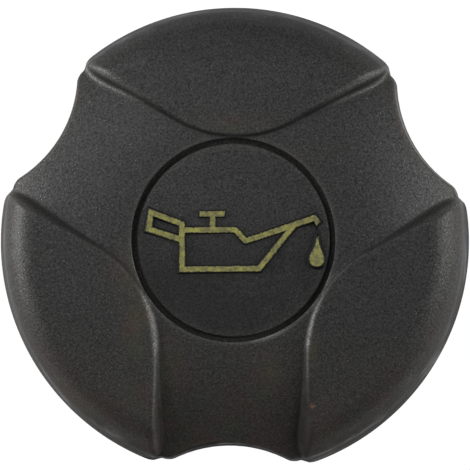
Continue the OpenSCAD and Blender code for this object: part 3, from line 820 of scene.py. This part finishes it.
def raised_lines(low_z, high_z, rounding, inset, flare):
    """The oil can's lines as one bmesh: the foil's outline, drawn in by the inset, pulled down
    to a level, wider there by the flare, and rounded along its upper edges. The layer middle is 1
    on the lines' flat middle, and the layer down grows from 0 there to 1 down their sides."""
    bm = merged_copy("symbol_foil")
    bm.normal_update()
    others = [face for face in bm.faces if face.normal.z < 0.9]
    bmesh.ops.delete(bm, geom=others, context="FACES")
    bmesh.ops.dissolve_limit(bm, angle_limit=math.radians(1), verts=bm.verts[:], edges=bm.edges[:])
    drop_x, drop_y = DROP_PLACE
    spout_end = Vector((*SPOUT_END, high_z))

    def in_drop(v):
        return v.co.x > drop_x - 1.5 * MM and v.co.y < 1.5 * MM

    # The drop's two straight sides are its only long edges
    slopes = [e for e in bm.edges if e.calc_length() > 2 * MM and all(map(in_drop, e.verts))]
    bmesh.ops.subdivide_edges(bm, edges=slopes, cuts=7)
    for v in bm.verts:
        v.co.z = high_z
        if in_drop(v):
            # the sides, from a quarter of the height upwards, are drawn in to a slim neck
            up = max(0, v.co.y - drop_y) / DROP_TALL
            slim = 1 - 0.35 * math.sin(math.pi * min(1, max(0, up - 0.25) / 0.75))
            v.co.x = drop_x + (v.co.x - drop_x) * slim + DROP_MOVE[0]
            v.co.y += DROP_STRETCH * up + DROP_MOVE[1]
        elif (v.co - spout_end).length < 0.8 * MM:
            v.co += Vector((*SPOUT_MOVE, 0))
    if inset > 0:
        made = bmesh.ops.inset_region(bm, faces=bm.faces[:], thickness=inset,
                                      use_even_offset=True, use_boundary=True)
        bmesh.ops.delete(bm, geom=made["faces"], context="FACES")
    pulled = verts_of(bmesh.ops.extrude_face_region(bm, geom=bm.faces[:])["geom"])
    for v in pulled:
        v.co.z = low_z
    bmesh.ops.recalc_face_normals(bm, faces=bm.faces[:])
    for v in pulled:
        sides = [face.normal for face in v.link_faces if abs(face.normal.z) < 0.1]
        v.co += sum(sides, Vector()).normalized() * flare
    sharp = [e for e in bm.edges
             if min(v.co.z for v in e.verts) > high_z - 1e-7 and e.calc_face_angle(0) > 1]
    bmesh.ops.bevel(bm, geom=sharp, offset=rounding, segments=3, profile=0.5,
                    affect="EDGES", material=-1, clamp_overlap=True)
    flat = [face for face in bm.faces if face.calc_center_median().z > high_z - 1e-7]
    # The ring inset along the flat top's edge begins the painted shade down the sides
    edge_w, edge_shade = 0.15 * MM, 0.6
    bmesh.ops.inset_region(bm, faces=flat, thickness=edge_w, use_even_offset=True)
    bm.verts.index_update()
    inner = {v.index for face in flat if face.is_valid for v in face.verts}
    middle = bm.verts.layers.float.new("middle")
    down = bm.verts.layers.float.new("down")
    for v in bm.verts:
        v[middle] = 1.0 if v.index in inner else 0.0
        low = min(1, (high_z - v.co.z) / rounding)
        v[down] = 0.0 if v.index in inner else edge_shade + (1 - edge_shade) * low
    return bm


class CAP_OT_badge(bpy.types.Operator):
    """Makes the badge: a disc with a soft edge and the raised lines of the oil can"""
    bl_idname = "cap.badge"
    bl_label = "Badge"

    def execute(self, context):
        cap, form, finish = context.scene.cap_form, context.scene.badge_form, context.scene.cap_finish
        line_top = FOIL_LOW.z
        top_z = line_top - 0.35 * MM        # the badge's middle
        top_r = cap.recess_r - form.groove_w
        foot_r, foot_z = BADGE_HIGH.x, cap.recess_z + 1 * MM
        hollow_r, hollow_z = 12.3 * MM, top_z - 1.6 * MM    # the hollow under it
        soft = form.edge_round

        def face_z(r):
            return top_z - form.crown * (r / top_r) ** 2

        edge_z = face_z(top_r) - soft
        turns = [math.radians(15 * i) for i in range(7)]
        edge = [(top_r - soft + soft * math.sin(a), edge_z + soft * math.cos(a)) for a in turns]
        top = [(r, face_z(r)) for r in [top_r * i / 12 for i in range(12)]]
        bm = bmesh.new()
        spin_profile(bm, [*top, *edge, (top_r, foot_z), (foot_r, foot_z), (foot_r, cap.recess_z),
                          (hollow_r, cap.recess_z), (hollow_r, hollow_z), (0, hollow_z)], steps=192)
        lines = raised_lines(top_z - 0.6 * MM, line_top - 0.05 * MM, form.line_bevel,
                             inset=0, flare=0.35 * MM)
        # The raised lines' flared sides round the foil get grime and painted shade
        grime_and_shade = lines.verts.layers.float.new("grime_and_shade")
        for v in lines.verts:
            v[grime_and_shade] = 1.0
        take_in(bm, lines)
        bmesh.ops.recalc_face_normals(bm, faces=bm.faces[:])
        rubbed = bm.verts.layers.float.new("rubbed")
        grime_and_shade = bm.verts.layers.float["grime_and_shade"]
        # A painted highlight runs round the badge's rim, and painted shade darkens the badge towards its
        # bottom
        for v in bm.verts:
            v[rubbed] = 0.2 * bell(math.hypot(v.co.x, v.co.y) - top_r + 0.1 * MM, 0.2 * MM)
            v[grime_and_shade] = max(v[grime_and_shade], 0.5 * ramp(v.co.y, 5 * MM, -7 * MM))
        nylon = moulded_nylon("Nylon, fine moulded grain", rgba(finish.badge), finish,
                              grain_mm=0.3, grain_depth_mm=0.03, roughness=0.44)
        finish_mesh(bm, "badge", nylon, "badge_disc", angle=30)
        return {"FINISHED"}


class CAP_OT_foil(bpy.types.Operator):
    """Makes the yellow foil that covers the raised lines and their rounded edges"""
    bl_idname = "cap.foil"
    bl_label = "Foil"

    def execute(self, context):
        finish = context.scene.cap_finish
        bm = raised_lines(FOIL_LOW.z - 0.12 * MM, FOIL_HIGH.z, rounding=0.18 * MM,
                          inset=0.06 * MM, flare=0)
        foil = stamped_foil("Yellow stamping foil, rubbed", rgba(finish.foil),
                            rgba(finish.foil_worn), rgba(finish.badge))
        finish_mesh(bm, "foil", foil, "symbol_foil", angle=50)
        return {"FINISHED"}


class CAP_OT_under_parts(bpy.types.Operator):
    """Finishes the stem, the gasket and the screws as they are"""
    bl_idname = "cap.under_parts"
    bl_label = "Stem, gasket and screws"

    def execute(self, context):
        finish = context.scene.cap_finish
        # A polished mould leaves the stem a smooth black with soft highlights
        nylon = plain_material("Moulded nylon, smooth", rgba(finish.stem), 0.4)
        # Moulded rubber is a flatter black
        rubber = plain_material("Oil resistant rubber", rgba(finish.rubber), 0.6)
        # Bright zinc gives the screws a pale, bluish shine
        zinc = plain_material("Zinc plated steel", rgba(finish.zinc), 0.3, metallic=1.0)
        wanted = {"bayonet_stem": nylon, "sealing_gasket": rubber, "retaining_screws": zinc}
        for name, material in wanted.items():
            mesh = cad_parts[name].data
            mesh.materials.clear()
            mesh.materials.append(material)
        return {"FINISHED"}


def soft_box(name, azimuth, elevation, size, level):
    """A soft box that looks at the cap and that the camera doesn't see. Level is how bright it
    makes a white card that faces it, where 1 is plain white."""
    away = 0.6    # metres from the cap's axis
    a, e = math.radians(azimuth), math.radians(elevation)
    place = polar(math.cos(e), a, math.sin(e)) * away
    data = bpy.data.lights.new(name, "AREA")
    data.shape = "RECTANGLE"
    data.size, data.size_y = size
    data.energy = level * (math.pi * away) ** 2
    lamp = bpy.data.objects.new(name, data)
    lamp.location = place
    lamp.rotation_euler = (-place).to_track_quat("-Z", "Y").to_euler()
    lamp.visible_camera = False
    bpy.context.scene.collection.objects.link(lamp)


def white_mix(tree, lit, strength, share):
    """Mixes white light into a shader for what the camera and mirrors see of it."""
    path = node(tree, "ShaderNodeLightPath")
    seen = path.outputs["Is Camera Ray"]
    for ray in ("Is Glossy Ray", "Is Transmission Ray"):
        both = node(tree, "ShaderNodeMath", {0: seen, 1: path.outputs[ray]}, operation="MAXIMUM")
        seen = both.outputs[0]
    factor = node(tree, "ShaderNodeMath", {0: seen, 1: share}, operation="MULTIPLY")
    glow = node(tree, "ShaderNodeEmission", {"Color": (1, 1, 1, 1), "Strength": strength})
    return node(tree, "ShaderNodeMixShader", {0: factor.outputs[0], 1: lit, 2: glow.outputs[0]})


# Soft boxes: name, azimuth and elevation in degrees, width and height in metres, and level
SOFT_BOXES = (("Soft box low left", 172, 14, (0.4, 0.3), 1.06),
              ("Soft box low right", 10, 14, (0.4, 0.3), 0.42),
              ("Soft box upper left", 135, 52, (0.4, 0.4), 0.29),
              ("Soft box right", 12, 36, (0.35, 0.35), 0.45),
              ("Soft box above", 120, 78, (0.45, 0.45), 0.08))
FLOOR_HALF = 1.2          # half the floor's width, in metres
FLOOR_GAP = 0.02 * MM     # between the floor and the cap's lowest point
PAPER_GLOW = 1.1          # the white that the camera sees of the floor, and its share there
PAPER_SHARE = 0.88
SKY_LIGHT = 0.16          # how brightly the world lights the cap


class CAP_OT_studio(bpy.types.Operator):
    """Makes the floor, the soft boxes, the world and the camera"""
    bl_idname = "cap.studio"
    bl_label = "Studio"

    def execute(self, context):
        scene = context.scene
        scene.view_settings.view_transform = "Standard"
        make_floor(scene)
        for lamp in SOFT_BOXES:
            soft_box(*lamp)
        make_world(scene)
        make_camera(scene)
        return {"FINISHED"}


def make_floor(scene):
    """A sheet of white paper that is lit by the lamps and can't be seen from below."""
    bm = bmesh.new()
    bmesh.ops.create_grid(bm, x_segments=1, y_segments=1, size=FLOOR_HALF)
    bmesh.ops.translate(bm, vec=(0, 0, LOW.z - FLOOR_GAP), verts=bm.verts[:])
    mesh = bpy.data.meshes.new("floor")
    bm.to_mesh(mesh)
    bm.free()
    paper = bpy.data.materials.new("White paper")
    tree = empty_tree(paper)
    matt = node(tree, "ShaderNodeBsdfDiffuse", {"Color": (0.7, 0.7, 0.7, 1)})
    mixed = white_mix(tree, matt.outputs[0], PAPER_GLOW, PAPER_SHARE)
    facing = node(tree, "ShaderNodeNewGeometry")
    clear = node(tree, "ShaderNodeBsdfTransparent")
    sheet = node(tree, "ShaderNodeMixShader",
                 {0: facing.outputs["Backfacing"], 1: mixed.outputs[0], 2: clear.outputs[0]})
    node(tree, "ShaderNodeOutputMaterial", {"Surface": sheet.outputs[0]})
    mesh.materials.append(paper)
    floor = bpy.data.objects.new("floor", mesh)
    scene.collection.objects.link(floor)


def make_world(scene):
    """A dim white sky that the camera sees as plain white."""
    world = bpy.data.worlds.new("Studio")
    scene.world = world
    tree = empty_tree(world)
    path = node(tree, "ShaderNodeLightPath")
    level = node(tree, "ShaderNodeMapRange",
                 {"Value": path.outputs["Is Camera Ray"], "To Min": SKY_LIGHT, "To Max": 1.0})
    sky = node(tree, "ShaderNodeBackground", {"Color": (1, 1, 1, 1), "Strength": level.outputs[0]})
    node(tree, "ShaderNodeOutputWorld", {"Surface": sky.outputs[0]})


def make_camera(scene):
    """A long lens straight above the cap, leaning a little to its lower right."""
    roll, lean_x, lean_y = [math.radians(a) for a in (0.9, 0.74, 0.85)]
    off_x, off_y = 0.015 * MM, 1.0 * MM    # from the axis to the middle of the picture
    lens_mm, sensor_mm = 1400, 36
    right = polar(1, roll, 0)
    up = Vector((-math.sin(roll), math.cos(roll), 0))
    back = (Vector((0, 0, 1)) + right * math.tan(lean_x) - up * math.tan(lean_y)).normalized()
    aim = right * off_x + up * off_y + Vector((0, 0, GRIP_LOW.z))
    data = bpy.data.cameras.new("Camera")
    data.lens = lens_mm
    data.sensor_width = sensor_mm
    distance = FRAME_W * lens_mm / sensor_mm
    data.clip_start, data.clip_end = 0.1, distance * 2
    camera = bpy.data.objects.new("Camera", data)
    x_axis = up.cross(back).normalized()
    y_axis = back.cross(x_axis)
    turn = Matrix((x_axis, y_axis, back)).transposed().to_4x4()
    camera.matrix_world = Matrix.Translation(aim + back * distance) @ turn
    scene.collection.objects.link(camera)
    scene.camera = camera


class CAP_PT_panel(bpy.types.Panel):
    """Lists the cap's sizes, colours and steps"""
    bl_label = "Filler Cap"
    bl_idname = "CAP_PT_panel"
    bl_space_type = "VIEW_3D"
    bl_region_type = "UI"
    bl_category = "Filler Cap"

    def draw(self, context):
        for group in (context.scene.cap_form, context.scene.badge_form, context.scene.cap_finish):
            box = self.layout.box()
            for name in group.bl_rna.properties.keys():
                if name not in ("rna_type", "name"):
                    box.prop(group, name)
        for step in STEPS:
            self.layout.operator(step.bl_idname)


STEPS = (CAP_OT_grip, CAP_OT_badge, CAP_OT_foil, CAP_OT_under_parts, CAP_OT_studio)
CLASSES = (CapForm, BadgeForm, CapFinish, *STEPS, CAP_PT_panel)


def register():
    """Registers the classes and gives the scene its settings."""
    for c in CLASSES:
        bpy.utils.register_class(c)
    bpy.types.Scene.cap_form = bpy.props.PointerProperty(type=CapForm)
    bpy.types.Scene.badge_form = bpy.props.PointerProperty(type=BadgeForm)
    bpy.types.Scene.cap_finish = bpy.props.PointerProperty(type=CapFinish)


def unregister():
    """Removes the settings and the classes."""
    del bpy.types.Scene.cap_finish
    del bpy.types.Scene.badge_form
    del bpy.types.Scene.cap_form
    for c in reversed(CLASSES):
        bpy.utils.unregister_class(c)


def main():
    """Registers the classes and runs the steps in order."""
    register()
    bpy.ops.cap.grip()
    bpy.ops.cap.badge()
    bpy.ops.cap.foil()
    bpy.ops.cap.under_parts()
    bpy.ops.cap.studio()


if __name__ == "__main__":
    main()
